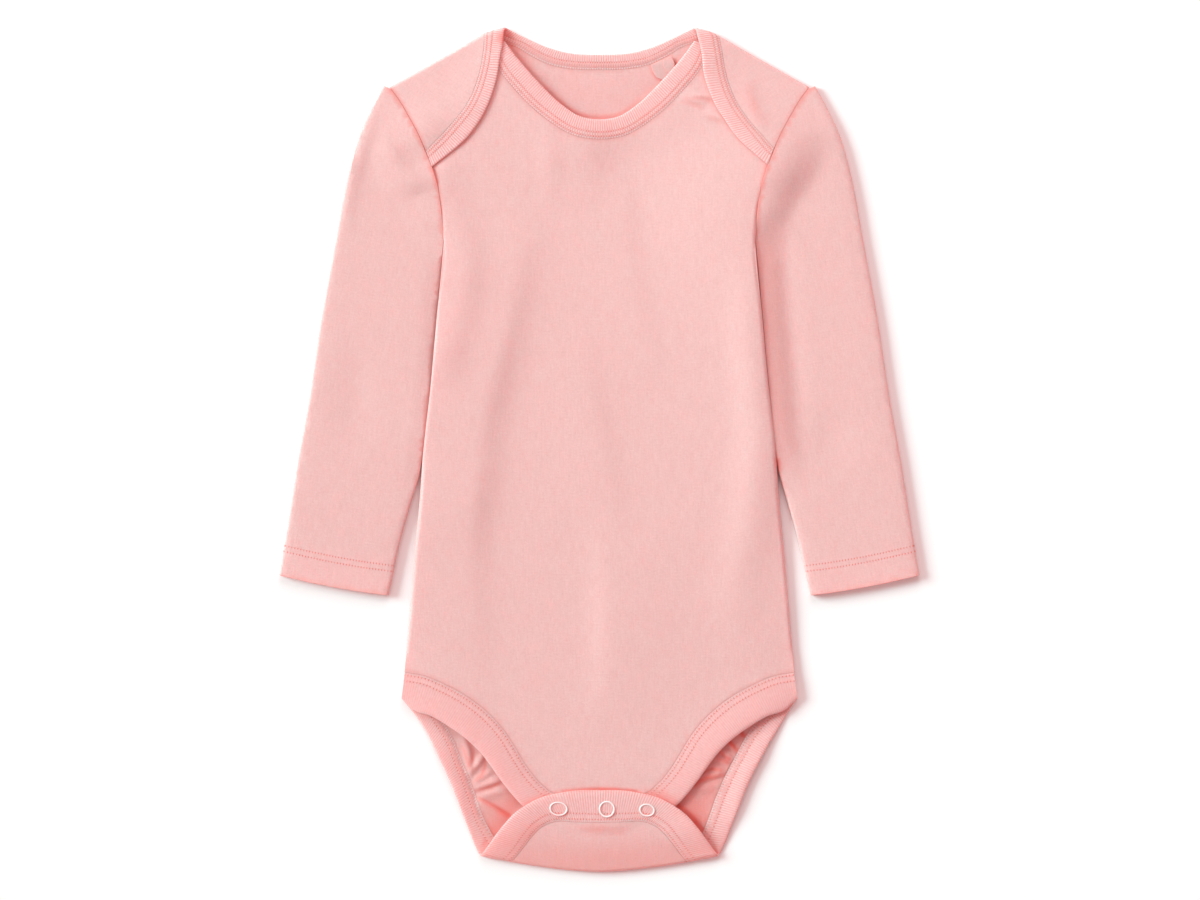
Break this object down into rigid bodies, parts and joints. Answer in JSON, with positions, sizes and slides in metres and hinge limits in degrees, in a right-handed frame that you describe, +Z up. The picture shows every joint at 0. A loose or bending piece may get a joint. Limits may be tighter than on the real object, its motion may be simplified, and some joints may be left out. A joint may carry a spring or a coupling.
{
  "type": "baby bodysuit",
  "caption": "Long-sleeved baby bodysuit laid flat on its back: envelope neck with lapped shoulders, rib bindings at neck and legs, crotch flap turned up and closed with ring snaps.",
  "frame": {"origin": "on the surface the garment lies on, at the middle of its width and length", "axes": "+X to the right as seen from above with the neck away, +Y from the crotch towards the neck, +Z up out of the surface it lies on"},
  "size_m": [0.3336, 0.4409, 0.0108],
  "materials": {
    "pink_interlock": "fine cotton interlock knit, matt, with a slight nap",
    "pink_rib": "one by one cotton rib, matt",
    "pale_enamel": "pale enamelled metal, half gloss"
  },
  "bodies": {
    "root": {"back_panel": "pink_interlock", "front_panel": "pink_interlock", "sleeve_left": "pink_interlock", "sleeve_right": "pink_interlock", "neck_binding_front": "pink_rib", "neck_binding_back": "pink_rib", "leg_binding_front": "pink_rib", "leg_binding_back": "pink_rib", "snap_ring_left": "pale_enamel", "snap_ring_middle": "pale_enamel", "snap_ring_right": "pale_enamel", "neck_tape": "pink_interlock"}
  },
  "joints": []
}
